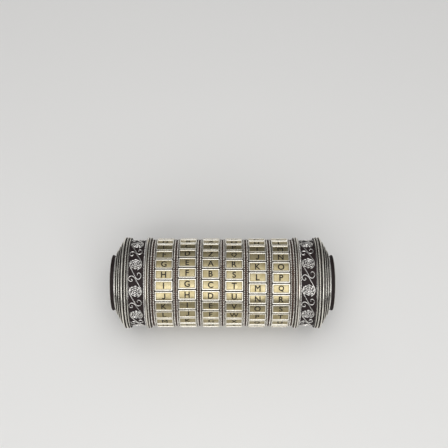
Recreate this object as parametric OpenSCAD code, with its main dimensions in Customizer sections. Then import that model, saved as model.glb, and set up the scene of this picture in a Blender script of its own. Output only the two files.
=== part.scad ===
// Cryptex: a lock of six letter rings round a slotted tube, which holds a sliding cartridge.
// The axis runs along X through the origin. +X points to the cap that pulls out, and +Z is up.
// Angles round the axis start at +Z and grow towards -Y.

/* [Letter rings] */
// Letters round one ring
letter_count = 26; // [24:1:28]
// Distance from one ring to the next
ring_pitch = 12.95; // [12.75:0.05:14]
// Width of a letter ring
ring_width = 10; // [9.5:0.1:10]
// Radius at the corners of the letter tiles
tile_radius = 25.6; // [25.5:0.1:26]
// Width of the gap between two tiles
tile_gap = 0.7; // [0.4:0.1:1]
// Depth of the gap between two tiles
tile_depth = 0.7; // [0.4:0.1:1]
// Turn of each ring away from its true click position, in degrees
ring_lean = [-0.7, -3.0, -1.7, -0.5, 2.8, 3.2]; // each from -3.5 to 3.5

/* [Lock] */
// Angle of the index mark, the slot and the notches, in degrees
lock_angle = -39; // [-90:1:90]
// Inner radius of the cartridge, which is the hidden compartment
compartment_radius = 10.8; // [9:0.1:11]
// Outer radius of the cartridge
cartridge_radius = 12; // [11.8:0.1:12]
// Radial play between the cartridge and the lock tube
cartridge_play = 0.1; // [0.05:0.05:0.1]
// Outer radius of the lock tube
tube_radius = 13.6; // [13.5:0.1:13.8]
// Radial play between the lock tube and a ring that turns on it
ring_play = 0.06; // [0.03:0.01:0.1]
// Width of a lug round the cartridge
lug_width = 2.9; // [2.5:0.1:3]
// Radius at the top of a lug
lug_radius = 15.8; // [15.5:0.1:15.9]

/* [Caps] */
// Radius at the corners of the outer flange, the widest part
flange_radius = 26.4; // [26.2:0.1:27]
// Radius of the inner flange beside the rings
inner_flange_radius = 25.6; // [25.2:0.1:26]
// Radius of the scroll band
band_radius = 24.8; // [24.5:0.1:25]
// Width of the inner flange
inner_flange_width = 2.6; // [2.5:0.05:3]
// Width of the scroll band
band_width = 9.1; // [9:0.1:10.5]
// Width of the outer flange
flange_width = 4; // [3.5:0.1:5]
// Flats round the rim of the outer flange, so that the cryptex doesn't roll on a table
rim_flats = 48; // [36:4:60]
// Radii of the three steps of the end disc
step_radii = [23.6, 21.2, 18.8]; // falling, each from 17 to 24
// Width of one step
step_width = 1.4; // [1.2:0.1:1.6]
// Radius of the end medallion
medallion_radius = 16; // [14:0.1:16.5]
// Thickness of the end medallion
medallion_width = 3.175; // [2.8:0.025:3.4]

/* [Hidden] */
$fn = 96;
ring_count = 6;
// a cut runs this far past the face it opens
past = 1;
face_gap = 0.1;
tile_angle = 360 / letter_count;

// the stack of rings and spacers
spacer_width = ring_pitch - ring_width - 2 * face_gap;
stack_end = ring_count / 2 * ring_pitch + spacer_width / 2;
spacer_radius = 24.7;
spacer_rim_radius = 22.8;
spacer_hub_radius = 17.6;
spacer_web = 1.2;
// room round a lug in the slot, and on each side of it in a notch
slot_play = 0.3;
notch_play = 1.15;
slot_width = lug_width + 2 * slot_play;
slot_radius = lug_radius + slot_play;

// inside a letter ring
code_radius = 18;
code_width = ring_width - 0.2;
shell_radius = 22.9;
ring_web = 2;
notch_width = lug_width + 2 * notch_play;
click_radius = 0.7;
click_centre = code_radius + 0.3;
click_play = 0.12;

// a detent leaf: its strip, foot and finger
leaf_radii = [20.6, 21.1];
leaf_sweep = 62;
leaf_width = 4;
leaf_gap = 2.4;
foot_radii = [19.4, 22.2];
foot_angles = [50, 64];
foot_step = 0.6;
finger_width = 0.5;
// the groove that the finger stands over, counted from the index mark
leaf_click = 8;

// the tubes
lock_end = stack_end + 1.5;
snap_groove_radius = 13;
snap_ring_radius = 15;
snap_ring_width = 0.85;
snap_ring_play = 0.075;
snap_ring_gap = 6;
tube_seat = 50.2;
cartridge_end = 44;
lug_length = 2.1;

// the caps, each measured outwards from the middle
cap_start = stack_end + 2 * face_gap;
band_start = cap_start + inner_flange_width;
flange_start = band_start + band_width;
step_start = flange_start + flange_width;
medallion_start = step_start + 3 * step_width;
cap_end = medallion_start + medallion_width;
drum_wall_radius = 24;
drum_bore_radius = 22.4;
hub_face_radius = 16.5;
hub_wall = 2;
hub_end = 52.8;
snap_recess_radius = 15.6;
snap_recess_depth = 2;
spigot_depth = 1.5;
step_boss_radius = 5;
step_skin = 1.6;
boss_drop = 0.2;
screw_radius = 1.5;
screw_head_radius = 3;
screw_head_width = 1.2;
screw_seat = cap_end - boss_drop - screw_head_width;
screw_tip = 50.8;
screw_slot = [0.6, 0.7];
screw_head_play = 0.1;
boss_radius = 4.4;
rim_width = 1.4;
field_depth = 0.9;
edge_chamfer = 0.4;
flange_chamfer = 0.8;

// the index pointer
pointer_width = 1.8;
pointer_height = 0.6;
pointer_margin = 0.4;

bronze = [0.34, 0.27, 0.22];
pewter = [0.62, 0.58, 0.53];
brass = [0.78, 0.70, 0.48];
steel = [0.72, 0.73, 0.75];

// middle of ring i and of the spacer on its left, counted from 1
function ring_x(i) = (i - (ring_count + 1) / 2) * ring_pitch;
function spacer_x(i) = ring_x(i) - ring_pitch / 2;
function polar(r, a) = [r * cos(a), r * sin(a)];

// turns a shape made about Z so that it lies about X, with its own angle 0 at +Z
module about_x(x = 0) translate([x, 0, 0]) rotate([0, 90, 0]) rotate([0, 0, 180]) children();

// a solid of revolution about X from [radius, x] points
module turned(points) about_x() rotate_extrude() polygon(points);

// a block that runs out from the axis at the lock angle, across the given width
module lock_block(x, length, width, r)
    about_x(x) rotate([0, 0, lock_angle])
        translate([cartridge_radius / 2, -width / 2, -length / 2])
            cube([r - cartridge_radius / 2, width, length]);

// ---- root: the lock tube, spacers and fixed cap ----

module lock_tube() color(brass) difference() {
    turned([
        [cartridge_radius + cartridge_play, -tube_seat],
        [tube_radius, -tube_seat],
        [tube_radius, stack_end],
        [snap_groove_radius, stack_end],
        [snap_groove_radius, stack_end + snap_ring_width + 2 * snap_ring_play],
        [tube_radius, stack_end + snap_ring_width + 2 * snap_ring_play],
        [tube_radius, lock_end],
        [cartridge_radius + cartridge_play, lock_end]
    ]);
    slot_start = spacer_x(1) - lug_length / 2 - 2 * slot_play;
    slot_length = lock_end + past - slot_start;
    lock_block(slot_start + slot_length / 2, slot_length, slot_width, slot_radius);
}

// a sleeve with a slot for the lugs, hollowed out on the sides that are named by -1 and 1
module spacer_body(hollow_sides) {
    half = spacer_width / 2;
    difference() {
        turned([[tube_radius, -half], [spacer_radius, -half], [spacer_radius, half], [tube_radius, half]]);
        for (side = hollow_sides) mirror([side < 0 ? 1 : 0, 0, 0])
            turned([
                [spacer_hub_radius, spacer_web / 2], [spacer_rim_radius, spacer_web / 2],
                [spacer_rim_radius, half + past], [spacer_hub_radius, half + past]
            ]);
        lock_block(0, spacer_width + 2 * past, slot_width, slot_radius);
    }
}

module spacer_ring(i) color(bronze) translate([spacer_x(i), 0, 0]) spacer_body([-1, 1]);

module retaining_collar() color(bronze)
    translate([spacer_x(ring_count + 1), 0, 0]) spacer_body([-1]);

module snap_ring() color(steel) difference() {
    about_x(stack_end + snap_ring_play) difference() {
        cylinder(r = snap_ring_radius, h = snap_ring_width);
        translate([0, 0, -past]) cylinder(r = snap_groove_radius, h = snap_ring_width + 2 * past);
    }
    lock_block(stack_end, 4 * snap_ring_width, snap_ring_gap, snap_ring_radius + past);
}

// a flat arc between two radii and two angles
module arc(inner, outer, from, to) intersection() {
    difference() {
        circle(r = outer);
        circle(r = inner);
    }
    polygon([[0, 0], polar(2 * outer, from), polar(2 * outer, (from + to) / 2), polar(2 * outer, to)]);
}

// a curved leaf with its foot on a spacer, and a finger that reaches towards the click grooves
module detent_leaf(i) {
    foot_face = spacer_web / 2;
    strip_face = foot_face + leaf_gap;
    finger_centre = code_radius + click_play + click_radius;
    color(steel) about_x(spacer_x(i))
        rotate([0, 0, lock_angle + ring_lean[i - 1] + leaf_click * tile_angle]) {
            translate([0, 0, strip_face]) linear_extrude(leaf_width) {
                arc(leaf_radii[0], leaf_radii[1], -1, leaf_sweep);
                translate([finger_centre, 0]) circle(r = click_radius);
                translate([finger_centre, -finger_width / 2])
                    square([(leaf_radii[0] + leaf_radii[1]) / 2 - finger_centre, finger_width]);
            }
            translate([0, 0, foot_face]) linear_extrude(leaf_gap + leaf_width - foot_step)
                arc(foot_radii[0], foot_radii[1], foot_angles[0], foot_angles[1]);
        }
}

// ---- the pieces that both caps have, drawn at the +X end ----

// the drum: inner flange, outer wall and a hub with a closed floor
module cap_drum(bore, face, recess) color(bronze) difference() {
    turned([
        [0, face], [hub_face_radius, face], [hub_face_radius, cap_start],
        [inner_flange_radius, cap_start], [inner_flange_radius, band_start],
        [drum_wall_radius, band_start], [drum_wall_radius, step_start],
        [drum_bore_radius, step_start], [drum_bore_radius, band_start],
        [bore + hub_wall, band_start], [bore + hub_wall, hub_end], [0, hub_end]
    ]);
    about_x(face - past) cylinder(r = bore, h = tube_seat - face + past);
    if (recess) about_x(face - past) cylinder(r = snap_recess_radius, h = snap_recess_depth + past);
    about_x(screw_tip) cylinder(r = screw_radius, h = step_start);
}

module scroll_band() color(pewter) turned([
    [drum_wall_radius, band_start], [band_radius, band_start],
    [band_radius, flange_start], [drum_wall_radius, flange_start]
]);

// the widest ring: the chamfers are turned, and run out past the flats that cut them
module outer_flange() color(bronze) intersection() {
    turned([
        [drum_wall_radius, flange_start], [flange_radius - flange_chamfer, flange_start],
        [flange_radius + edge_chamfer, flange_start + flange_chamfer + edge_chamfer],
        [flange_radius + edge_chamfer, step_start - flange_chamfer - edge_chamfer],
        [flange_radius - flange_chamfer, step_start], [drum_wall_radius, step_start]
    ]);
    about_x(flange_start - past) linear_extrude(flange_width + 2 * past)
        polygon([for (k = [0:rim_flats - 1]) polar(flange_radius, (k + 0.5) * 360 / rim_flats)]);
}

// three steps, hollow behind, with a spigot that fits the drum and a boss that meets the hub
module step_disc() color(bronze) turned([
    [screw_radius, hub_end], [step_boss_radius, hub_end],
    [step_boss_radius, medallion_start - step_skin],
    for (k = [2, 1], end = [1, 0])
        [step_radii[k] - step_skin, step_start + (k + end) * step_width - step_skin],
    [drum_bore_radius - step_skin, step_start + step_width - step_skin],
    [drum_bore_radius - step_skin, step_start - spigot_depth],
    [drum_bore_radius, step_start - spigot_depth],
    [drum_bore_radius, step_start],
    for (k = [0:2], end = [0, 1]) [step_radii[k], step_start + (k + end) * step_width],
    [screw_radius, medallion_start]
]);

// a plate with a raised rim and a boss round the screw
module medallion() color(pewter) turned([
    [screw_radius, medallion_start], [medallion_radius, medallion_start],
    [medallion_radius, cap_end - edge_chamfer], [medallion_radius - edge_chamfer, cap_end],
    [medallion_radius - rim_width, cap_end], [medallion_radius - rim_width, cap_end - field_depth],
    [boss_radius, cap_end - field_depth], [boss_radius, cap_end - boss_drop],
    [screw_head_radius + screw_head_play, cap_end - boss_drop],
    [screw_head_radius + screw_head_play, screw_seat],
    [screw_radius, screw_seat]
]);

module cap_screw() color(steel) difference() {
    union() {
        about_x(screw_seat) cylinder(r = screw_head_radius, h = screw_head_width);
        about_x(screw_tip) cylinder(r = screw_radius, h = screw_seat - screw_tip + screw_head_width / 2);
    }
    translate([screw_seat + screw_head_width - screw_slot[1] + past, 0, 0])
        cube([2 * past, screw_slot[0], 2 * screw_head_radius + past], center = true);
}

module at_fixed_end() mirror([1, 0, 0]) children();

module fixed_cap_drum() at_fixed_end() cap_drum(tube_radius, stack_end, false);
module sliding_cap_drum() cap_drum(cartridge_radius, cap_start, true);

// a small dart on the fixed inner flange, pointing at the rings
module index_pointer() color(pewter) difference() {
    about_x() rotate([0, 0, lock_angle]) translate([inner_flange_radius - past, 0, -band_start])
        rotate([0, 90, 0]) linear_extrude(pointer_height + past) polygon([
            [0, -pointer_width / 2], [pointer_margin - inner_flange_width, 0], [0, pointer_width / 2]
        ]);
    about_x(-cap_end) cylinder(r = inner_flange_radius, h = cap_end, $fn = 720);
}

// ---- the rings that turn ----

// flat tiles with a gap between each two
module tile_outline() {
    half = tile_angle / 2 - asin(tile_gap / 2 / tile_radius);
    floor_radius = tile_radius - tile_depth;
    polygon([for (k = [0:letter_count - 1]) for (corner = [
        [floor_radius, -half], [tile_radius, -half], [tile_radius, half], [floor_radius, half]
    ]) polar(corner[0], corner[1] + k * tile_angle)]);
}

// a shell of tiles with a web on its right that reaches in to the code ring
module letter_ring(i) color(brass)
    about_x(ring_x(i) - ring_width / 2) rotate([0, 0, lock_angle + ring_lean[i - 1]]) difference() {
        linear_extrude(ring_width) difference() {
            tile_outline();
            circle(r = code_radius);
        }
        translate([0, 0, -past]) cylinder(r = shell_radius, h = ring_width - ring_web + past);
    }

// the inner ring: one notch lets a lug through, and a groove for each letter takes the detent
module code_ring(i) color(brass)
    about_x(ring_x(i) - code_width / 2) rotate([0, 0, lock_angle + ring_lean[i - 1]])
        linear_extrude(code_width) difference() {
            circle(r = code_radius);
            circle(r = tube_radius + ring_play);
            translate([cartridge_radius / 2, -notch_width / 2])
                square([slot_radius - cartridge_radius / 2, notch_width]);
            for (k = [0:letter_count - 1]) rotate([0, 0, k * tile_angle])
                translate([click_centre, 0]) circle(r = click_radius);
        }

// ---- the cartridge ----

module cartridge_tube() color(brass) turned([
    [compartment_radius, -cartridge_end], [cartridge_radius - edge_chamfer, -cartridge_end],
    [cartridge_radius, -cartridge_end + edge_chamfer], [cartridge_radius, tube_seat],
    [compartment_radius, tube_seat]
]);

// six lugs, one in the plane of each spacer
module cartridge_lugs() color(steel) intersection() {
    for (i = [1:ring_count]) lock_block(spacer_x(i), lug_length, lug_width, lug_radius + past);
    turned([
        [cartridge_radius, -stack_end], [lug_radius, -stack_end],
        [lug_radius, stack_end], [cartridge_radius, stack_end]
    ]);
}

lock_tube();
retaining_collar();
snap_ring();
index_pointer();
for (i = [1:ring_count]) {
    spacer_ring(i);
    detent_leaf(i);
    letter_ring(i);
    code_ring(i);
}
fixed_cap_drum();
at_fixed_end() scroll_band();  // fixed_scroll_band
at_fixed_end() outer_flange();  // fixed_outer_flange
at_fixed_end() step_disc();  // fixed_step_disc
at_fixed_end() medallion();  // fixed_medallion
at_fixed_end() cap_screw();  // fixed_cap_screw
cartridge_tube();
cartridge_lugs();
sliding_cap_drum();
scroll_band();  // sliding_scroll_band
outer_flange();  // sliding_outer_flange
step_disc();  // sliding_step_disc
medallion();  // sliding_medallion
cap_screw();  // sliding_cap_screw
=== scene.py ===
"""The looks of the cryptex: letter tiles, scroll relief, ridges, end rosettes and their metals.

Shapes are worked out in millimetres. An angle round the axis starts at +Z and grows towards -Y.
"""

import math

import bmesh
import bpy
import numpy as np
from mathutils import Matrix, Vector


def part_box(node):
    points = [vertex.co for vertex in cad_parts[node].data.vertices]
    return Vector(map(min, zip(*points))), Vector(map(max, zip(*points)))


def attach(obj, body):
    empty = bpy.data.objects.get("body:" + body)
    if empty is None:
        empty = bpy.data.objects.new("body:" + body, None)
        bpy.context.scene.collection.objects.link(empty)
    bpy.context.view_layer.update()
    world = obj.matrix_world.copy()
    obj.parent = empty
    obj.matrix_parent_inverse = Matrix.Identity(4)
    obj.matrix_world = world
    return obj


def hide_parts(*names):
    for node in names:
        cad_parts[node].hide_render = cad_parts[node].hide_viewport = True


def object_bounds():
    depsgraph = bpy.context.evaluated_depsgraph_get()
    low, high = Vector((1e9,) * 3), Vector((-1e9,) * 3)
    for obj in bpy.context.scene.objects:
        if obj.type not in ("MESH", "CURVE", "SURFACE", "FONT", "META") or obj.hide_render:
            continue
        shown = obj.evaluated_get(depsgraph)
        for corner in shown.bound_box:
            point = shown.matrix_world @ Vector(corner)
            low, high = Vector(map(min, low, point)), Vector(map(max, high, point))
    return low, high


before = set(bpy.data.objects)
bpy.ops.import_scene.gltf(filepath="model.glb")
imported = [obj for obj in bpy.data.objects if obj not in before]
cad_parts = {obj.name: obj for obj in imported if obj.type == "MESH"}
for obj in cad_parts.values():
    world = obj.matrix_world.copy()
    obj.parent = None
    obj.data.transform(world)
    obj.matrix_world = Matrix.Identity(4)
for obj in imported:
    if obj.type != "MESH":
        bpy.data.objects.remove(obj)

MM = 0.001
TURN = 2 * math.pi
RINGS = range(1, 7)
cad_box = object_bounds()


# ---- places and sizes, from the frame ----

def span(node):
    """Lowest and highest x of a CAD node, in mm."""
    low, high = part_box(node)
    return low[0] / MM, high[0] / MM


def radius(node):
    """Outer radius of a turned CAD node, in mm."""
    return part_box(node)[1][2] / MM


LETTERS = "ABCDEFGHIJKLMNOPQRSTUVWXYZ"
TILE_STEP = TURN / len(LETTERS)
INDEX_ANGLE = math.radians(-39)
# how far each ring stands from its true click position, and its letter at the index mark
RING_LEAN = [math.radians(v) for v in (-0.7, -3.0, -1.7, -0.5, 2.8, 3.2)]
INDEX_LETTERS = "DBXOHL"

TILE_RADIUS = 25.6
SPACER_RADIUS = radius("spacer_ring_1")
FLANGE_RADIUS = radius("fixed_outer_flange")
INNER_FLANGE_RADIUS = radius("fixed_cap_drum")
MEDALLION_RADIUS = radius("fixed_medallion")
CAP_START = span("sliding_cap_drum")[0]
BAND_START, FLANGE_START = span("sliding_scroll_band")
STEP_START = span("sliding_outer_flange")[1]
MEDALLION_START, CAP_END = span("sliding_medallion")
SCREW_HEAD_WIDTH = 1.2
SCREW_SEAT = span("sliding_cap_screw")[1] - SCREW_HEAD_WIDTH
SCREW_BORE = 1.55
BAND_INSIDE = 24.0                              # where the cap's reliefs meet the parts under them


# ---- mesh helpers ----

def smooth_step(low, high, value):
    t = np.clip((value - low) / (high - low), 0, 1)
    return t * t * (3 - 2 * t)


def half_round(distance, half_width):
    """Height from 0 to 1 of a half-round rib, at a distance from its middle line."""
    return np.sqrt(np.clip(1 - (distance / half_width) ** 2, 0, 1))


def around(x, r, a):
    """Points in mm at a place along the axis, a radius and an angle."""
    x, r, a = np.broadcast_arrays(x, r, a)
    return np.stack([x, -r * np.sin(a), r * np.cos(a)], axis=-1)


def add_piece(name, points, faces, materials, body, shade=None, face_materials=None, sharp=40):
    """A mesh object that rides on a body. points are in mm; shade is a number from 0 to 1 for each point."""
    mesh = bpy.data.meshes.new(name)
    mesh.from_pydata((np.asarray(points).reshape(-1, 3) * MM).tolist(), [], faces)
    for material in materials:
        mesh.materials.append(material)
    if face_materials is not None:
        mesh.polygons.foreach_set("material_index", np.asarray(face_materials, dtype=np.int32))
    if shade is not None:
        mesh.attributes.new("shade", "FLOAT", "POINT").data.foreach_set("value",
                                                                        np.asarray(shade, float).ravel())
    mesh.polygons.foreach_set("use_smooth", [True] * len(mesh.polygons))
    mesh.set_sharp_from_angle(angle=math.radians(sharp))
    mesh.validate()
    obj = bpy.data.objects.new(name, mesh)
    bpy.context.scene.collection.objects.link(obj)
    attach(obj, body)
    return obj


def closed_grid(rows, columns):
    """Quads of a grid that closes on itself both ways, as a torus does."""
    i, j = np.meshgrid(np.arange(rows), np.arange(columns), indexing="ij")
    down, right = (i + 1) % rows, (j + 1) % columns
    quads = np.stack([i * columns + j, down * columns + j,
                      down * columns + right, i * columns + right], axis=-1)
    return quads.reshape(-1, 4).tolist()


def add_round(name, x, r, material, body, steps=None, shade=None, sharp=40):
    """A closed ring round the axis from its section. x and r hold the section's points, in order towards +X
    along the outside, and have a row for each angle if the section changes round the axis."""
    x, r = np.broadcast_arrays(x, r)
    if x.ndim == 1:
        x, r = (np.broadcast_to(v, (steps, len(v))) for v in (x, r))
        if shade is not None:
            shade = np.broadcast_to(shade, x.shape)
    a = np.linspace(0, TURN, len(x), endpoint=False)[:, None]
    return add_piece(name, around(x, r, a), closed_grid(*x.shape), [material], body, shade, sharp=sharp)


def rounded(corners, fillet, steps=4):
    """A closed section with its corners rounded. corners are (x, r, scale of the fillet)."""
    points = np.array([c[:2] for c in corners], float)
    out = []
    for k, corner in enumerate(corners):
        here, before, after = points[k], points[k - 1], points[(k + 1) % len(points)]
        size = fillet * corner[2]
        if size == 0:
            out.append(here)
            continue
        to_before, to_after = before - here, after - here
        start = here + to_before / np.linalg.norm(to_before) * size
        end = here + to_after / np.linalg.norm(to_after) * size
        for t in np.linspace(0, 1, steps):
            out.append((1 - t) ** 2 * start + 2 * t * (1 - t) * here + t * t * end)
    return np.array(out)


def mirrored(side, x, *rows):
    """The section for the fixed end is the sliding end's turned round, still in order towards +X."""
    if side > 0:
        return (x, *rows)
    return (-x[..., ::-1], *(row[..., ::-1] for row in rows))


def curve_through(points, per_span=8):
    """A smooth line through points (Catmull-Rom)."""
    p = np.array(points, float)
    p = np.concatenate([[2 * p[0] - p[1]], p, [2 * p[-1] - p[-2]]])
    t = np.linspace(0, 1, per_span, endpoint=False)[:, None]
    spans = []
    for a, b, c, d in zip(p[:-3], p[1:-2], p[2:-1], p[3:]):
        spans.append(0.5 * (2 * b + (c - a) * t + (2 * a - 5 * b + 4 * c - d) * t ** 2
                            + (3 * b - a - 3 * c + d) * t ** 3))
    return np.concatenate([*spans, p[-2:-1]])


def rib(u, v, line, width_start, width_end, height, period):
    """Height field of a half-round rib along a line that repeats every period of u."""
    field = np.zeros(u.shape)
    widths = np.linspace(width_start, width_end, len(line))
    for shift in (-period, 0, period):
        for k in range(len(line) - 1):
            a, b = line[k] + [shift, 0], line[k + 1] + [shift, 0]
            if a[0] > u.max() + 1 and b[0] > u.max() + 1 or a[0] < u.min() - 1 and b[0] < u.min() - 1:
                continue
            along = b - a
            t = np.clip(((u - a[0]) * along[0] + (v - a[1]) * along[1]) / (along @ along), 0, 1)
            distance = np.hypot(u - a[0] - t * along[0], v - a[1] - t * along[1])
            width = widths[k] + (widths[k + 1] - widths[k]) * t
            field = np.maximum(field, half_round(distance, width) * height * width / width_start)
    return field


def pearls(u, v, row, step, size, period):
    """A row of small pearls along v = row."""
    count = max(1, round(period / step))
    step = period / count
    near = np.hypot((u + step / 2) % step - step / 2, v - row)
    return size * 1.2 * half_round(near, size)


def blurred(field, reach):
    """Mean over a square window, wrapping round the first axis and held at the ends of the second."""
    padded = np.pad(field, ((0, 0), (reach, reach)), mode="edge")
    padded = np.pad(padded, ((reach, reach), (0, 0)), mode="wrap")
    total = np.zeros(field.shape)
    size = 2 * reach + 1
    for i in range(size):
        for j in range(size):
            total += padded[i:i + field.shape[0], j:j + field.shape[1]]
    return total / size ** 2


def worn(field, full_height, reach=2):
    """From 0 in the hollows, where the dark patina stays, to 1 on the worn crests."""
    crest = (field - blurred(field, reach)) / full_height
    return np.clip(0.95 * smooth_step(0.08, 0.75, field / full_height) + 2.2 * crest, 0, 1)


# ---- materials ----

def new_material(name):
    material = bpy.data.materials.new(name)
    material.use_nodes = True
    tree = material.node_tree
    return material, tree, tree.nodes["Principled BSDF"]


def add_node(tree, kind, inputs=None, **settings):
    node = tree.nodes.new(kind)
    for key, value in settings.items():
        setattr(node, key, value)
    for key, value in (inputs or {}).items():
        if isinstance(value, bpy.types.NodeSocket):
            tree.links.new(value, node.inputs[key])
        else:
            node.inputs[key].default_value = value
    return node


def stretched_noise(tree, stretch, scale, detail=4, roughness=0.55):
    """Noise in object space, drawn out along the axes where stretch is small."""
    place = add_node(tree, "ShaderNodeTexCoord")
    mapping = add_node(tree, "ShaderNodeMapping", {"Vector": place.outputs["Object"], "Scale": stretch})
    noise = add_node(tree, "ShaderNodeTexNoise", {
        "Vector": mapping.outputs["Vector"], "Scale": scale, "Detail": detail, "Roughness": roughness})
    return noise.outputs["Fac"]


def ramp(tree, value, stops):
    """stops are (position, colour or grey)."""
    node = add_node(tree, "ShaderNodeValToRGB", {"Fac": value})
    while len(node.color_ramp.elements) < len(stops):
        node.color_ramp.elements.new(0.5)
    for element, (position, colour) in zip(node.color_ramp.elements, stops):
        element.position = position
        element.color = (*colour, 1) if isinstance(colour, tuple) else (colour, colour, colour, 1)
    return node.outputs["Color"]


def mix_colour(tree, amount, a, b, blend="MIX"):
    node = add_node(tree, "ShaderNodeMix", data_type="RGBA", blend_type=blend)
    for key, value in ((0, amount), (6, a), (7, b)):
        if isinstance(value, bpy.types.NodeSocket):
            tree.links.new(value, node.inputs[key])
        else:
            node.inputs[key].default_value = (*value, 1) if isinstance(value, tuple) else value
    return node.outputs[2]


def add_bump(tree, shader, height, strength, distance_mm):
    bump = add_node(tree, "ShaderNodeBump",
                    {"Height": height, "Strength": strength, "Distance": distance_mm * MM})
    tree.links.new(bump.outputs["Normal"], shader.inputs["Normal"])


def brushed_brass(name, light, dark, tarnish_and_shade, roughness):
    """Brushed brass with faint clouds, and a darker colour where the shade attribute is low, which paints
    both tarnished brass and shade in recesses.
    """
    material, tree, shader = new_material(name)
    shader.inputs["Metallic"].default_value = 1
    shade = add_node(tree, "ShaderNodeAttribute", attribute_name="shade").outputs["Fac"]
    streaks = stretched_noise(tree, (1, 0.03, 0.03), 9000, detail=2)
    clouds = stretched_noise(tree, (1, 1, 1), 300, detail=5)
    cloudy = mix_colour(tree, ramp(tree, clouds, [(0.38, 0.0), (0.7, 0.8)]), light, dark)
    base = mix_colour(tree, ramp(tree, streaks, [(0.35, 0.0), (0.75, 0.3)]), cloudy, dark)
    # the darker colour paints tarnished brass and also painted shade in the recesses by the rims and
    # letters, where the shade attribute is low
    uneven = add_node(tree, "ShaderNodeMath", {0: clouds, 1: 0.9, 2: shade},
                      operation="MULTIPLY_ADD").outputs[0]
    clean_and_unshaded = ramp(tree, uneven, [(0.45, 0.0), (1.05, 1.0)])
    tree.links.new(mix_colour(tree, clean_and_unshaded, tarnish_and_shade, base), shader.inputs["Base Color"])
    tree.links.new(ramp(tree, clouds, [(0.3, roughness - 0.05), (0.7, roughness + 0.09)]),
                   shader.inputs["Roughness"])
    add_bump(tree, shader, streaks, 0.2, 0.02)
    return material


def antiqued(name, crest, ground, roughness=(0.7, 0.27), wear=(0.25, 0.65)):
    """Cast relief: dark patina in the hollows and worn metal on the crests, by the shade attribute. wear
    holds the shades at which the metal starts to show and is bare."""
    material, tree, shader = new_material(name)
    shader.inputs["Specular IOR Level"].default_value = 0.3
    shade = add_node(tree, "ShaderNodeAttribute", attribute_name="shade").outputs["Fac"]
    grain = stretched_noise(tree, (1, 1, 1), 1500, detail=3, roughness=0.7)
    clouds = stretched_noise(tree, (1, 1, 1), 180, detail=5)
    uneven = add_node(tree, "ShaderNodeMath", {0: grain, 1: -0.5}, operation="ADD").outputs[0]
    spread = add_node(tree, "ShaderNodeMath", {0: uneven, 1: 0.9, 2: shade},
                      operation="MULTIPLY_ADD").outputs[0]
    mask = ramp(tree, spread, [(wear[0], 0.0), (wear[1], 1.0)])
    cloudy = ramp(tree, clouds, [(0.3, 0.0), (0.75, 1.0)])
    high = mix_colour(tree, cloudy, crest, tuple(v * 0.75 for v in crest))
    low = mix_colour(tree, cloudy, ground, tuple(v * 1.6 for v in ground))
    tree.links.new(mix_colour(tree, mask, low, high), shader.inputs["Base Color"])
    tree.links.new(ramp(tree, mask, [(0.0, 0.0), (1.0, 1.0)]), shader.inputs["Metallic"])
    tree.links.new(ramp(tree, mask, [(0.0, roughness[0]), (1.0, roughness[1])]), shader.inputs["Roughness"])
    add_bump(tree, shader, grain, 0.35, 0.05)
    return material


def plain_metal(name, light, dark, roughness, stretch=(1, 1, 1), scale=700, metallic=1.0):
    """A machined or cast surface with fine marks and a little staining."""
    material, tree, shader = new_material(name)
    shader.inputs["Metallic"].default_value = metallic
    marks = stretched_noise(tree, stretch, scale, detail=4)
    stain = stretched_noise(tree, (1, 1, 1), 120, detail=6)
    first = mix_colour(tree, ramp(tree, marks, [(0.35, 0.0), (0.65, 1.0)]), light,
                       tuple(v * 0.85 for v in light))
    colour = mix_colour(tree, ramp(tree, stain, [(0.42, 0.0), (0.72, 0.8)]), first, dark)
    tree.links.new(colour, shader.inputs["Base Color"])
    tree.links.new(ramp(tree, stain, [(0.3, roughness - 0.05), (0.7, roughness + 0.12)]),
                   shader.inputs["Roughness"])
    add_bump(tree, shader, marks, 0.2, 0.02)
    return material


# the third colour of each brass is its tarnished colour, which also serves as painted shade in recesses
TILE_BRASS = brushed_brass("tile_brass", (0.47, 0.41, 0.255), (0.32, 0.26, 0.13), (0.12, 0.08, 0.035), 0.28)
RIM_BRASS = brushed_brass("rim_brass", (0.95, 0.93, 0.86), (0.80, 0.75, 0.63), (0.20, 0.15, 0.09), 0.26)
DARK_OXIDE = plain_metal("dark_oxide", (0.014, 0.011, 0.009), (0.026, 0.018, 0.012), 0.65, metallic=0)
SCROLL_METAL = antiqued("scroll_metal", (0.95, 0.93, 0.89), (0.014, 0.008, 0.008), (0.7, 0.2), (0.28, 0.6))
SPACER_METAL = antiqued("spacer_metal", (0.95, 0.91, 0.84), (0.028, 0.012, 0.008), (0.7, 0.2), (0.35, 0.7))
RIDGE_METAL = antiqued("ridge_metal", (0.96, 0.93, 0.84), (0.011, 0.007, 0.006), (0.7, 0.2), (0.3, 0.65))
BRONZE = plain_metal("bronze", (0.13, 0.085, 0.06), (0.05, 0.03, 0.024), 0.42)
TUBE_BRASS = plain_metal("tube_brass", (0.62, 0.46, 0.21), (0.42, 0.28, 0.11), 0.27, (1, 0.05, 0.05), 5000)
STEEL = plain_metal("steel", (0.52, 0.52, 0.53), (0.30, 0.29, 0.29), 0.28, (0.05, 1, 1), 4000)


# ---- letter rings ----

TILE_HALF = TILE_STEP / 2 - math.asin(0.35 / TILE_RADIUS)
FACET = TILE_RADIUS * math.cos(TILE_HALF)      # distance of a tile's plane from the axis
TILE_TALL = 2 * TILE_RADIUS * math.sin(TILE_HALF)
TILE_WIDE = 9.7
RING_BASE_RADIUS = 24.9
RING_SHELL_INSIDE = 22.9
RING_BORE = 18.02
RING_WEB = 2
RIM_WIDTH = 0.62
RIM_TOP = 0.05
PANEL_TOP = -0.1
CROWN = 0.15                                   # how far the panel's middle stands above its edges
LETTER_TALL = 3.15
LETTER_BOLD = 0.13
DOT_RADIUS = 0.1
OFFSET_STEPS = 8
TAIL_LIMIT = 0.05                               # a letter that reaches lower is fitted by its full height


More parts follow.
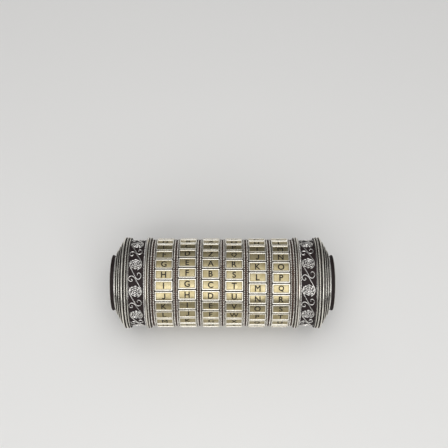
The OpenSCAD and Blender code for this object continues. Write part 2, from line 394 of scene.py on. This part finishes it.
def rounded_loop(wide, tall, corner, steps=4):
    """Points of a rectangle with round corners, anticlockwise."""
    out = []
    for quarter, (sx, sy) in enumerate(((1, 1), (-1, 1), (-1, -1), (1, -1))):
        for t in np.linspace(0, math.pi / 2, steps):
            turn = t + quarter * math.pi / 2
            out.append((sx * (wide / 2 - corner) + corner * math.cos(turn),
                        sy * (tall / 2 - corner) + corner * math.sin(turn)))
    return np.array(out)


def tile_rim():
    """The raised frame of a tile: points (across, up, height) and quads."""
    section = [(0, -0.8), (0, -0.08), (0.03, 0.0), (0.12, RIM_TOP), (0.32, RIM_TOP), (0.48, 0.0),
               (0.56, -0.08), (RIM_WIDTH, -0.26), (RIM_WIDTH, -0.8)]
    loops = []
    for inset, height in section:
        loop = rounded_loop(TILE_WIDE - 2 * inset, TILE_TALL - 2 * inset, max(0.42 - inset * 0.5, 0.1))
        loops.append(np.column_stack([loop, np.full(len(loop), height)]))
    points = np.stack(loops, axis=1)
    return points.reshape(-1, 3), closed_grid(*points.shape[:2])


def add_spline(curve, points, kind="POLY"):
    spline = curve.splines.new(kind)
    spline.use_cyclic_u = True
    spline.points.add(len(points) - 1)
    for target, (x, y) in zip(spline.points, points):
        target.co = (x, y, 0, 1)


def flattened(spline):
    """A closed bezier spline as points on it."""
    out = []
    knots = list(spline.bezier_points)
    for here, after in zip(knots, knots[1:] + knots[:1]):
        a, b, c, d = (np.array(v[:2]) for v in (here.co, here.handle_right, after.handle_left, after.co))
        side = np.array([-(d - a)[1], (d - a)[0]])
        curved = max(abs((b - a) @ side), abs((c - a) @ side)) > 1e-4 * (side @ side)
        for t in np.linspace(0, 1, 7 if curved else 1, endpoint=False):
            out.append((1 - t) ** 3 * a + 3 * t * (1 - t) ** 2 * b + 3 * t * t * (1 - t) * c + t ** 3 * d)
    out = np.array(out)
    return out[np.linalg.norm(out - np.roll(out, 1, axis=0), axis=1) > 1e-4]


def thickened(outline, distance):
    """The outline moved to the right of its direction by a distance, with mitred corners.
    It moves in small steps,
    so that a narrow notch closes instead of turning inside out."""
    for _ in range(OFFSET_STEPS):
        after = np.roll(outline, -1, axis=0) - outline
        right = np.column_stack([after[:, 1], -after[:, 0]]) / np.linalg.norm(after, axis=1, keepdims=True)
        mitre = right + np.roll(right, 1, axis=0)
        reach = np.maximum((mitre ** 2).sum(axis=1, keepdims=True), 0.8)
        outline = uncrossed(outline + mitre * (2 * distance / OFFSET_STEPS / reach))
    return outline


def uncrossed(outline):
    """The outline without the small loops where it crosses itself."""
    count = len(outline)
    for i in range(count):
        start, along = outline[i], outline[(i + 1) % count] - outline[i]
        for gap in range(2, count // 2):
            j = (i + gap) % count
            across = outline[(j + 1) % count] - outline[j]
            area = along[0] * across[1] - along[1] * across[0]
            if abs(area) < 1e-12:
                continue
            offset = outline[j] - start
            t = (offset[0] * across[1] - offset[1] * across[0]) / area
            v = (offset[0] * along[1] - offset[1] * along[0]) / area
            if 0 < t < 1 and 0 < v < 1:
                rest = [outline[(j + 1 + k) % count] for k in range(count - gap)]
                return uncrossed(np.array([start + t * along] + rest))
    return outline


def letter_outlines(letter):
    """The built-in font's outlines of one letter, each a list of points."""
    text = bpy.data.curves.new("letter", "FONT")
    text.body = letter
    obj = bpy.data.objects.new("letter", text)
    bpy.context.scene.collection.objects.link(obj)
    bpy.context.view_layer.objects.active = obj
    for other in bpy.context.selected_objects:
        other.select_set(False)
    obj.select_set(True)
    bpy.ops.object.convert(target="CURVE")
    obj = bpy.context.view_layer.objects.active
    outlines = [flattened(spline) for spline in obj.data.splines]
    data = obj.data
    bpy.data.objects.remove(obj)
    bpy.data.curves.remove(data)
    return outlines


def hooked_j(cap_height, stem):
    """Outline of a J that stands on the line, as one stroke of even width."""
    reach = 0.23 * cap_height
    turn = np.linspace(0, -0.82 * math.pi, 12)
    hook = np.column_stack([reach * np.cos(turn), reach * (1 + np.sin(turn)) + stem / 2])
    middle = np.concatenate([[[reach, cap_height]], hook])
    along = np.gradient(middle, axis=0)
    along[0] = (0, -1)
    length = np.linalg.norm(along, axis=1, keepdims=True)
    side = np.column_stack([-along[:, 1], along[:, 0]]) / length * stem / 2
    return np.concatenate([middle - side, (middle + side)[::-1]])


def letter_shape(letter, cap_height):
    """Outlines of a letter that stands on the line, anticlockwise round its outside."""
    if letter != "J":
        return letter_outlines(letter)
    bar = letter_outlines("I")[0]
    outline = hooked_j(cap_height, bar[:, 0].max() - bar[:, 0].min())
    x, y = outline.T
    area = (x * np.roll(y, -1) - y * np.roll(x, -1)).sum()
    return [outline if area > 0 else outline[::-1]]


def dot_places():
    """A row of small pits just inside the rim."""
    wide, tall = TILE_WIDE - 2 * RIM_WIDTH - 0.52, TILE_TALL - 2 * RIM_WIDTH - 0.50
    across = np.linspace(-wide / 2, wide / 2, 14)
    up = np.linspace(-tall / 2, tall / 2, 7)[1:-1]
    rows = [(x, s * tall / 2) for x in across for s in (-1, 1)]
    sides = [(s * wide / 2, y) for y in up for s in (-1, 1)]
    return rows + sides


def distance_to(points, outline):
    """Distance in the plane from each point to a closed outline."""
    a, b = outline, np.roll(outline, -1, axis=0)
    along = b - a
    offset = points[:, None] - a
    t = np.clip((offset * along).sum(axis=2) / np.maximum((along ** 2).sum(axis=1), 1e-12), 0, 1)
    return np.linalg.norm(offset - t[..., None] * along, axis=2).min(axis=1)


def tile_panel(letter, cap_height):
    """The tile's face with the letter and the dots cut through: points (across, up, height), faces, 1 for a
    face on a wall of a cut, and a shade that is low near the rim and the letter, where it paints shade in
    the recesses together with tarnished brass."""
    curve = bpy.data.curves.new("panel", "CURVE")
    curve.dimensions, curve.fill_mode = "2D", "BOTH"
    curve.extrude = 0.12
    curve.bevel_depth, curve.bevel_resolution = 0.035, 0
    wide, tall = TILE_WIDE - 1.1, TILE_TALL - 1.1
    add_spline(curve, rounded_loop(wide, tall, 0.2, 2))
    for x, y in dot_places():
        turn = np.linspace(0, TURN, 6, endpoint=False)
        add_spline(curve, np.column_stack([x + DOT_RADIUS * np.cos(turn), y + DOT_RADIUS * np.sin(turn)]))
    outlines = letter_shape(letter, cap_height)
    corners = np.concatenate(outlines)
    below = -corners[:, 1].min()
    tail = below if below > TAIL_LIMIT * cap_height else 0
    scale = LETTER_TALL / (cap_height + tail)
    middle = [(corners[:, 0].min() + corners[:, 0].max()) / 2, (cap_height - tail) / 2]
    outlines = [thickened((outline - middle) * scale, LETTER_BOLD) for outline in outlines]
    for outline in outlines:
        add_spline(curve, outline)
    obj = bpy.data.objects.new("panel", curve)
    bpy.context.scene.collection.objects.link(obj)
    mesh = bpy.data.meshes.new_from_object(obj.evaluated_get(bpy.context.evaluated_depsgraph_get()))
    grid = bmesh.new()
    grid.from_mesh(mesh)
    for size, count, axis in ((wide, 11, 0), (tall, 7, 1)):
        for place in np.linspace(-size / 2, size / 2, count)[1:-1]:
            normal = [0, 0, 0]
            normal[axis] = 1
            bmesh.ops.bisect_plane(grid, geom=grid.verts[:] + grid.edges[:] + grid.faces[:],
                                   plane_co=[place * v for v in normal], plane_no=normal)
    grid.to_mesh(mesh)
    grid.free()
    points = np.array([v.co[:] for v in mesh.vertices])
    crown = CROWN * ((points[:, 1] / (tall / 2)) ** 2 + (points[:, 0] / (wide / 2)) ** 2)
    points[:, 2] += PANEL_TOP - points[:, 2].max() - crown
    faces, walls = [], []
    for polygon in mesh.polygons:
        corners = list(polygon.vertices)
        corners = [v for i, v in enumerate(corners)
                   if np.abs(points[v] - points[corners[i - 1]]).max() > 1e-6]
        if len(corners) > 2:
            faces.append(corners)
            walls.append(int(abs(polygon.normal[2]) < 0.3))
    # painted shade, together with tarnished brass: the panel darkens within 0.45 mm of the rim and down to
    # 0.7 round the letter
    to_rim = np.minimum(wide / 2 - np.abs(points[:, 0]), tall / 2 - np.abs(points[:, 1]))
    to_letter = np.min([distance_to(points[:, :2], outline) for outline in outlines], axis=0)
    shade = np.minimum(smooth_step(0, 0.45, to_rim), 0.7 + 0.3 * smooth_step(0, 0.3, to_letter))
    bpy.data.objects.remove(obj)
    bpy.data.curves.remove(curve)
    bpy.data.meshes.remove(mesh)
    return points, faces, walls, shade


def ring_section(k):
    """The plain part of a letter ring, as in the CAD: a shell with a web on its right."""
    low, high = span(f"letter_ring_{k}")
    web = high - RING_WEB
    corners = [(low, RING_BASE_RADIUS, 1), (high, RING_BASE_RADIUS, 1), (high, RING_BORE, 0.4),
               (web, RING_BORE, 0.4),
               (web, RING_SHELL_INSIDE, 0.4), (low, RING_SHELL_INSIDE, 0.4)]
    return rounded(corners, 0.15, 3)


def make_letter_rings():
    cap_height = letter_outlines("H")[0][:, 1].max()
    rim_points, rim_faces = tile_rim()
    panels = {letter: tile_panel(letter, cap_height) for letter in LETTERS}
    for k in RINGS:
        low, high = span(f"letter_ring_{k}")
        section = ring_section(k)
        steps = 260
        turn = np.linspace(0, TURN, steps, endpoint=False)[:, None]
        points = [around(section[:, 0], section[:, 1], turn).reshape(-1, 3)]
        faces = closed_grid(steps, len(section))
        kinds = [2] * len(faces)
        shade = [np.zeros(len(points[0]))]
        count = len(points[0])
        first = LETTERS.index(INDEX_LETTERS[k - 1])
        for tile in range(len(LETTERS)):
            angle = INDEX_ANGLE + RING_LEAN[k - 1] + tile * TILE_STEP
            outward = np.array([0, -math.sin(angle), math.cos(angle)])
            upward = np.array([0, math.cos(angle), math.sin(angle)])
            panel_points, panel_faces, walls, panel_shade = panels[LETTERS[(first + tile) % len(LETTERS)]]
            # the rim's shade falls to 0 down its walls: painted shade where the rim meets the panel and the
            # gaps between tiles
            for part, part_faces, part_kinds, part_shade in (
                (rim_points, rim_faces, [1] * len(rim_faces), smooth_step(-0.3, 0, rim_points[:, 2])),
                (panel_points, panel_faces, [2 if wall else 0 for wall in walls], panel_shade),
            ):
                middle = np.array([(low + high) / 2, 0, 0]) + outward * FACET
                points.append(middle + part[:, :1] * [1, 0, 0] + part[:, 1:2] * upward
                              + part[:, 2:] * outward)
                faces += [[v + count for v in face] for face in part_faces]
                kinds += part_kinds
                shade.append(part_shade)
                count += len(part)
        ring = add_piece(f"letter_ring_{k}_tiles", np.concatenate(points), faces,
                         [TILE_BRASS, RIM_BRASS, DARK_OXIDE], f"ring_{k}",
                         shade=np.concatenate(shade), face_materials=kinds, sharp=30)
        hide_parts(f"letter_ring_{k}")


# ---- spacer rings: two rows of beads with a running vine between them ----

BEAD_ROW = 0.82                                # how far a row of beads is from the spacer's middle

def vine_field(u, v, period):
    """Height in mm of the vine relief over one period. u runs round the ring and v across it from its
    middle."""
    wave = [(period * t, 0.52 * math.sin(TURN * t)) for t in np.linspace(-0.1, 1.1, 13)]
    field = rib(u, v, curve_through(wave, 4), 0.2, 0.2, 0.3, period)
    for side, start in ((1, 0.30), (-1, 0.80)):
        turns = np.linspace(0, 1.35 * TURN, 16)
        shrink = np.linspace(0.5, 0.12, 16)
        curl = np.column_stack([period * start - side * shrink * np.sin(turns) * side,
                                -side * 0.22 + side * shrink * np.cos(turns)])
        field = np.maximum(field, rib(u, v, curl, 0.16, 0.14, 0.28, period))
    for place, across in ((0.05, -0.62), (0.55, 0.62), (0.45, -0.75), (0.95, 0.75)):
        near = np.hypot((u - period * place + period / 2) % period - period / 2, v - across)
        field = np.maximum(field, 0.26 * half_round(near, 0.24))
    return field


def make_spacers():
    repeats, per_repeat = 36, 32
    for k in range(1, 8):
        node = f"spacer_ring_{k}" if k < 7 else "retaining_collar"
        low, high = span(node)
        half = (high - low) / 2
        v = np.linspace(-half, half, 25)
        period = TURN * SPACER_RADIUS / repeats
        u = np.arange(per_repeat) * period / per_repeat
        grid_u, grid_v = np.meshgrid(u, v, indexing="ij")
        field = 0.45 * vine_field(grid_u, grid_v, period)
        beads = np.maximum(pearls(grid_u, grid_v, BEAD_ROW, 1.05, 0.42, period),
                           pearls(grid_u, grid_v, -BEAD_ROW, 1.05, 0.42, period))
        edge = 0.14 * half_round(np.abs(grid_v) - half + 0.2, 0.18)
        field = np.tile(np.maximum(np.maximum(field, beads), edge), (repeats, 1))
        shade = worn(field, 0.42, 1)
        r = SPACER_RADIUS - 0.02 + field
        inner = np.full((len(r), 2), SPACER_RADIUS - 0.6)
        x = np.broadcast_to(np.concatenate([v, [half, -half]]) + (low + high) / 2, (len(r), len(v) + 2))
        add_round(f"spacer_relief_{k}", x, np.concatenate([r, inner], axis=1), SPACER_METAL, "lock_body",
                  shade=np.concatenate([shade, inner * 0], axis=1))


# ---- scroll bands: roses with curling stems between them ----

ROSE_RADIUS = 3.15
ROSE_HEIGHT = 0.62
STEM_HEIGHT = 0.42
STEM_WIDTHS = (0.29, 0.22)                      # at the start and the end of a stem
ROSE_REPEATS = 10
BAND_GROUND = 24.35


def rose_field(u, v, size, height):
    """A many-petalled rose in layers that turn as they rise: its height, and its wear from 0 to 1."""
    distance, angle = np.hypot(u, v) / size, np.arctan2(v, u)
    field, wear = np.zeros(u.shape), np.zeros(u.shape)
    layers = ((1.0, 8, 0.0, 0.55), (0.66, 6, 0.5, 0.76), (0.33, 4, 0.2, 1.0))
    for reach, petals, turn, level in layers:
        swirl = angle + 0.9 * distance + turn
        edge = reach * (0.84 + 0.16 * np.abs(np.cos(petals * swirl / 2)))
        inside = smooth_step(0, 0.05, edge - distance)
        lip = np.exp(-((edge - distance - 0.095) / 0.085) ** 2)
        crease = np.exp(-((np.cos(petals * swirl / 2)) / 0.2) ** 2)
        layer = height * (level - 0.42 + 0.42 * lip * (1 - 0.5 * crease))
        field = np.where(distance < edge, np.maximum(layer * inside, field * (1 - inside)), field)
        wear = np.where(distance < edge, 0.06 + 1.1 * lip * (1 - 0.5 * crease), wear)
    return field, wear


def band_field(u, v, period):
    """The scroll relief over one period, whose rose is at u = 0: height in mm, and wear from 0 to 1."""
    stem = curve_through([(-1.9, -2.7), (0.1, -3.35), (2.1, -2.8), (4.3, -1.55), (6.4, -0.45), (8.1, 0.55),
                          (8.75, 1.75), (8.0, 2.95), (6.5, 3.25), (5.3, 2.45), (5.45, 1.35), (6.4, 1.25)])
    lower = curve_through([(8.6, -2.05), (9.35, -1.55), (9.9, -2.3), (9.4, -3.35), (8.0, -3.5), (7.0, -2.6),
                           (7.1, -1.3), (8.3, 0.0), (10.2, 1.1), (12.3, 2.3), (14.3, 3.25), (16.0, 3.4),
                           (17.6, 2.75), (18.6, 1.4)])
    stems = (rib(u, v, line, *STEM_WIDTHS, STEM_HEIGHT, period) for line in (stem, lower[::-1]))
    field = np.maximum(*stems)
    wear = worn(field, STEM_HEIGHT)
    for shift in (0, period):
        rose, rose_wear = rose_field(u - shift, v, ROSE_RADIUS, ROSE_HEIGHT)
        on_rose = np.hypot(u - shift, v) < ROSE_RADIUS
        wear = np.where(on_rose & (rose > 0), rose_wear, wear)
        field = np.where(on_rose & (rose > 0), rose, field)
    return field, wear


def make_scroll_band(end, side, first_rose, outwards):
    """first_rose is the angle of one rose, and outwards is how far the relief is from the band's middle, in
    mm."""
    half = (FLANGE_START - BAND_START) / 2
    v = np.linspace(-half, half, 78)
    period = TURN * BAND_GROUND / ROSE_REPEATS
    per_repeat = 120
    u = np.arange(per_repeat) * period / per_repeat
    grid_u, grid_v = np.meshgrid(u, v, indexing="ij")
    field, wear = band_field(grid_u, grid_v - side * outwards, period)
    row = pearls(grid_u, grid_v, -side * (half - 0.42), 0.85, 0.36, period)
    edge = 0.38 * smooth_step(half - 0.24, half - 0.12, np.abs(grid_v))
    field = np.tile(np.maximum(np.maximum(field, row), edge), (ROSE_REPEATS, 1))
    shade = np.tile(np.maximum(wear, smooth_step(0.08, 0.3, np.maximum(row, edge))), (ROSE_REPEATS, 1))
    steps = len(field)
    shift = round(first_rose / TURN * steps)
    field, shade = np.roll(field, shift, axis=0), np.roll(shade, shift, axis=0)
    inner = np.full((steps, 2), BAND_INSIDE)
    middle = side * (BAND_START + FLANGE_START) / 2
    x = np.broadcast_to(np.concatenate([v, [half, -half]]) + middle, (steps, len(v) + 2))
    band = add_round(f"{end}_scroll_relief", x,
                     np.concatenate([BAND_GROUND + field, inner], axis=1), SCROLL_METAL,
                     BODY_OF_END[end], shade=np.concatenate([shade, inner * 0], axis=1))
    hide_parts(f"{end}_scroll_band")


# ---- ridges of the flanges, stepped discs and medallions ----

BODY_OF_END = {"fixed": "lock_body", "sliding": "cartridge"}
RIDGE_STEPS = 1296                              # divisions round the ridged rims
STEP_RADII = (23.6, 21.2, 18.8)
STEP_BEADS = (96, 0, 72)                        # beads on each step's lip, or 0 for a plain lip
STEP_LIP = 0.3
MEDALLION_RIM = 1.4
BOSS_RADIUS = 4.4


def ridged(x, ridges, base, steps):
    """Radius and wear over a row of ridges. Each ridge is (middle, half width, height, strands of its rope
    or 0)."""
    a = np.linspace(0, TURN, steps, endpoint=False)[:, None]
    r, wear = np.full((steps, len(x)), float(base)), np.zeros((steps, len(x)))
    for middle, half_width, height, strands in ridges:
        across = ((x - middle) / half_width)[None, :]
        rise = half_round(across, 1.0) * np.ones((steps, 1))
        bare = smooth_step(0.55, 0.92, rise)
        if strands:
            strand = np.sqrt(np.abs(np.sin(strands / 2 * a + 1.3 * across)))
            rise = rise * (0.58 + 0.42 * strand)
            bare = bare * smooth_step(0.35, 0.85, strand)
        r, wear = np.maximum(r, base + height * rise), np.maximum(wear, bare)
    return r, wear


def ridge_piece(name, side, x, r, wear, bottom, body):
    """A closed ring with ridges outside and a plain bore of radius bottom."""
    x = np.broadcast_to(x, r.shape)
    ends = np.stack([x[:, -1], x[:, 0]], axis=1)
    low = np.full(ends.shape, float(bottom))
    x, r, wear = (np.concatenate(pair, axis=1) for pair in ((x, ends), (r, low), (wear, low * 0)))
    x, r, wear = mirrored(side, x, r, wear)
    return add_round(name, x, r, RIDGE_METAL, body, shade=wear)


def make_flange_ridges(end, side):
    """The inner flange's two ridges and the outer flange's three. Those with strands are roped."""
    x = np.linspace(CAP_START + 0.02, BAND_START, 46)
    ridges = [(BAND_START - 0.7, 0.5, 0.72, 0), (CAP_START + 0.57, 0.5, 0.62, 150)]
    r, wear = ridged(x, ridges, INNER_FLANGE_RADIUS - 0.1, RIDGE_STEPS)
    ridge_piece(f"{end}_inner_ridges", side, x, r, wear, INNER_FLANGE_RADIUS - 0.8, BODY_OF_END[end])

    x = np.linspace(FLANGE_START, STEP_START, 64)
    ridges = [(FLANGE_START + 0.36, 0.32, 0.66, 0), (FLANGE_START + 1.72, 0.62, 0.92, 144),
              (FLANGE_START + 3.38, 0.54, 0.97, 0)]
    r, wear = ridged(x, ridges, FLANGE_RADIUS - 0.98, RIDGE_STEPS)
    ring = ridge_piece(f"{end}_outer_ridges", side, x, r, wear, BAND_INSIDE,
                       BODY_OF_END[end])
    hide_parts(f"{end}_outer_flange")


def make_step_disc(end, side):
    """Three steps, each with a rounded lip at its outer corner."""
    inner_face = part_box("sliding_step_disc")[0][0] / MM
    steps = 864
    a = np.linspace(0, TURN, steps, endpoint=False)[:, None]
    widths = (MEDALLION_START - STEP_START) / len(STEP_RADII)
    section_x, section_r, section_shade = [], [], []
    for k, (size, count) in enumerate(zip(STEP_RADII, STEP_BEADS)):
        start = STEP_START + k * widths
        turn = np.linspace(-0.35 * math.pi, 0.85 * math.pi, 14)
        swell = np.ones((steps, 1))
        if count:
            swell = 0.72 + 0.28 * np.sqrt(np.abs(np.sin(count / 2 * a)))
        wall_x = np.linspace(start, start + widths - 2.1 * STEP_LIP, 6)
        wall_r = size - 0.5 - 0.08 * np.cos(120 * a) * np.ones(6)
        section_x.append(np.broadcast_to(wall_x, (steps, 6)))
        section_r.append(wall_r)
        section_shade.append(np.full((steps, 6), 0.08))
        section_x.append(start + widths - STEP_LIP - np.cos(turn) * STEP_LIP * swell * np.ones(14) * 0.98)
        section_r.append(size - STEP_LIP + np.sin(turn) * STEP_LIP * swell)
        section_shade.append(smooth_step(0.1, 0.9, np.sin(turn + 0.25)) * swell)
    inner_x = np.array([MEDALLION_START - 0.3, inner_face, inner_face, STEP_START - 0.2, STEP_START])
    inner_r = np.array([SCREW_BORE, SCREW_BORE, 5.0, 20.0, 22.3])
    section_x.append(np.broadcast_to(inner_x, (steps, 5)))
    section_r.append(np.broadcast_to(inner_r, (steps, 5)))
    section_shade.append(np.zeros((steps, 5)))
    x, r, shade = mirrored(side, *(np.concatenate(part, axis=1)
                                   for part in (section_x, section_r, section_shade)))
    disc = add_round(f"{end}_step_ridges", x, r, RIDGE_METAL, BODY_OF_END[end], shade=shade)
    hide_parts(f"{end}_step_disc")


def medallion_field(r, a):
    """Height in mm of the end rosette above its field."""
    field = 0.5 * half_round(np.abs(r - 13.55), 0.4) * (0.4 + 0.6 * np.sqrt(np.abs(np.sin(30 * a))))
    for petals, inner, outer, turn, height in ((8, 5.2, 12.6, 0.0, 0.5), (8, 4.6, 9.6, 0.5, 0.72)):
        swirl = (a * petals / TURN + turn) % 1 - 0.5
        along = (r - inner) / (outer - inner)
        half_width = 0.46 * np.sqrt(np.clip(np.sin(np.clip(along, 0, 1) * math.pi) ** 0.8, 0, 1)) + 1e-6
        across = np.abs(swirl) / half_width
        inside = (along > 0) & (along < 1) & (across < 1)
        dish = height * (0.55 + 0.45 * smooth_step(0.45, 0.85, across)) * smooth_step(0, 0.16, 1 - across)
        vein = 0.14 * half_round(np.abs(swirl), 0.05)
        field = np.where(inside, np.maximum(field * 0.2, dish + vein), field)
    dots = (a * 8 / TURN) % 1 - 0.5
    near = np.hypot(dots * TURN / 8 * 11.9, r - 12.0)
    return np.maximum(field, 0.55 * half_round(near, 0.7))


def make_medallion(end, side):
    steps = 720
    a = np.linspace(0, TURN, steps, endpoint=False)[:, None]
    field_x = CAP_END - 0.9
    field_r = np.linspace(MEDALLION_RADIUS - MEDALLION_RIM, BOSS_RADIUS, 84)
    field = medallion_field(field_r[None, :], a)
    rim_turn = np.linspace(-0.1, 1.0, 9) * math.pi
    lip = MEDALLION_RIM / 2
    swell = 0.86 + 0.14 * np.sqrt(np.abs(np.sin(48 * a)))
    wall_x = np.linspace(MEDALLION_START, CAP_END - lip - 0.1, 22)
    bead = half_round(wall_x - MEDALLION_START - 0.5, 0.38)
    parts = [
        (wall_x + 0 * a, MEDALLION_RADIUS - 0.4 + 0.36 * bead + 0 * a, smooth_step(0.4, 0.9, bead) + 0 * a),
        (CAP_END - lip + np.sin(rim_turn) * lip * swell,
         MEDALLION_RADIUS - lip + np.cos(rim_turn) * lip + 0 * a,
         np.broadcast_to(smooth_step(0.2, 0.9, np.sin(rim_turn)), (steps, 9))),
        (field_x + field, np.broadcast_to(field_r, field.shape), worn(field, 0.6, 1)),
    ]
    boss_x = np.array([CAP_END - 0.25, CAP_END - 0.1, CAP_END - 0.1, CAP_END - 0.3, SCREW_SEAT, SCREW_SEAT,
                       MEDALLION_START])
    boss_r = np.array([BOSS_RADIUS, 4.2, 3.3, 3.1, 3.1, SCREW_BORE, SCREW_BORE])
    parts.append((np.broadcast_to(boss_x, (steps, 7)), np.broadcast_to(boss_r, (steps, 7)),
                  np.broadcast_to([0.9, 1, 0.9, 0.5, 0, 0, 0], (steps, 7))))
    x, r, shade = mirrored(side, *(np.concatenate(part, axis=1) for part in zip(*parts)))
    disc = add_round(f"{end}_medallion_rosette", x, r, SCROLL_METAL, BODY_OF_END[end],
                     shade=shade)
    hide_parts(f"{end}_medallion")


def make_index_pointer():
    """A small faceted dart on the fixed inner flange."""
    tip_x, back_x = -CAP_START - 0.15, -BAND_START - 0.05
    low, high = INNER_FLANGE_RADIUS - 0.1, INNER_FLANGE_RADIUS + 0.72
    outline = [(tip_x, 0.0, low), (back_x + 0.5, 0.05, low), (back_x, 0.034, low), (back_x, -0.034, low),
               (back_x + 0.5, -0.05, low)]
    ridge = [(tip_x - 0.5, 0.0, high - 0.1), (back_x + 0.35, 0.0, high)]
    points = [around(x, r, INDEX_ANGLE + a) for x, a, r in outline + ridge]
    faces = [[0, 1, 6, 5], [1, 2, 6], [2, 3, 6], [3, 4, 6], [4, 0, 5, 6], [4, 3, 2, 1, 0]]
    dart = add_piece("index_dart", np.array(points), faces, [RIM_BRASS],
                     "lock_body", sharp=10)
    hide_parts("index_pointer")


def make_cap(end, side, first_rose, outwards):
    """One end cap. side is -1 for the fixed end and 1 for the sliding one."""
    make_flange_ridges(end, side)
    make_scroll_band(end, side, first_rose, outwards)
    make_step_disc(end, side)
    make_medallion(end, side)


# ---- the CAD's own nodes that stay in view ----

def paint_cad():
    paint = {"lock_tube": TUBE_BRASS, "cartridge_tube": TUBE_BRASS, "cartridge_lugs": STEEL,
             "snap_ring": STEEL,
             "fixed_cap_drum": BRONZE, "sliding_cap_drum": BRONZE, "fixed_cap_screw": STEEL,
             "sliding_cap_screw": STEEL, "retaining_collar": BRONZE}
    for k in RINGS:
        paint.update({f"spacer_ring_{k}": BRONZE, f"code_ring_{k}": TUBE_BRASS, f"detent_leaf_{k}": STEEL})
    for node, material in paint.items():
        for material_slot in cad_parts[node].material_slots:
            material_slot.material = material


# ---- camera, lights and floor ----

def make_stage():
    scene = bpy.context.scene
    floor_z = cad_box[0][2]
    mesh = bpy.data.meshes.new("floor")
    size = 3.0
    mesh.from_pydata([(-size, -size, floor_z), (size, -size, floor_z),
                      (size, size, floor_z), (-size, size, floor_z)],
                     [], [(0, 1, 2, 3)])
    floor = bpy.data.objects.new("floor", mesh)
    scene.collection.objects.link(floor)
    material, _, shader = new_material("floor")
    shader.inputs["Roughness"].default_value = 0.9
    shader.inputs["Base Color"].default_value = (0.86, 0.85, 0.83, 1)
    mesh.materials.append(material)

    world = bpy.data.worlds.new("studio")
    world.use_nodes = True
    world.node_tree.nodes["Background"].inputs["Color"].default_value = (0.95, 0.97, 1.0, 1)
    world.node_tree.nodes["Background"].inputs["Strength"].default_value = 0.2
    scene.world = world
    scene.view_settings.view_transform = "Standard"

    # four softboxes side by side on an arc over the object, the brightest in front
    for name, lean, power in (("back", -40, 0.8), ("top", -7, 2.5), ("front", 24, 3.2), ("key", 52, 4.8)):
        data = bpy.data.lights.new(name, "AREA")
        data.shape = "RECTANGLE"
        data.size, data.size_y = 1.3, 0.57
        data.energy = power
        light = bpy.data.objects.new(name, data)
        light.location = (0, -math.sin(math.radians(lean)), math.cos(math.radians(lean)))
        light.rotation_euler = (math.radians(lean), 0, 0)
        light.visible_camera = False
        scene.collection.objects.link(light)

    camera = bpy.data.objects.new("camera", bpy.data.cameras.new("camera"))
    camera.data.lens = 71.04
    camera.data.sensor_width = 36
    camera.location = (0.00087, -0.2229, 0.4610)
    camera.rotation_euler = (math.radians(90 - 60.4), 0, 0)
    scene.collection.objects.link(camera)
    scene.camera = camera


make_stage()
make_letter_rings()
make_spacers()
make_cap("fixed", -1, math.radians(1.0), 0.55)
make_cap("sliding", 1, math.radians(-0.5), 0)
make_index_pointer()
paint_cad()
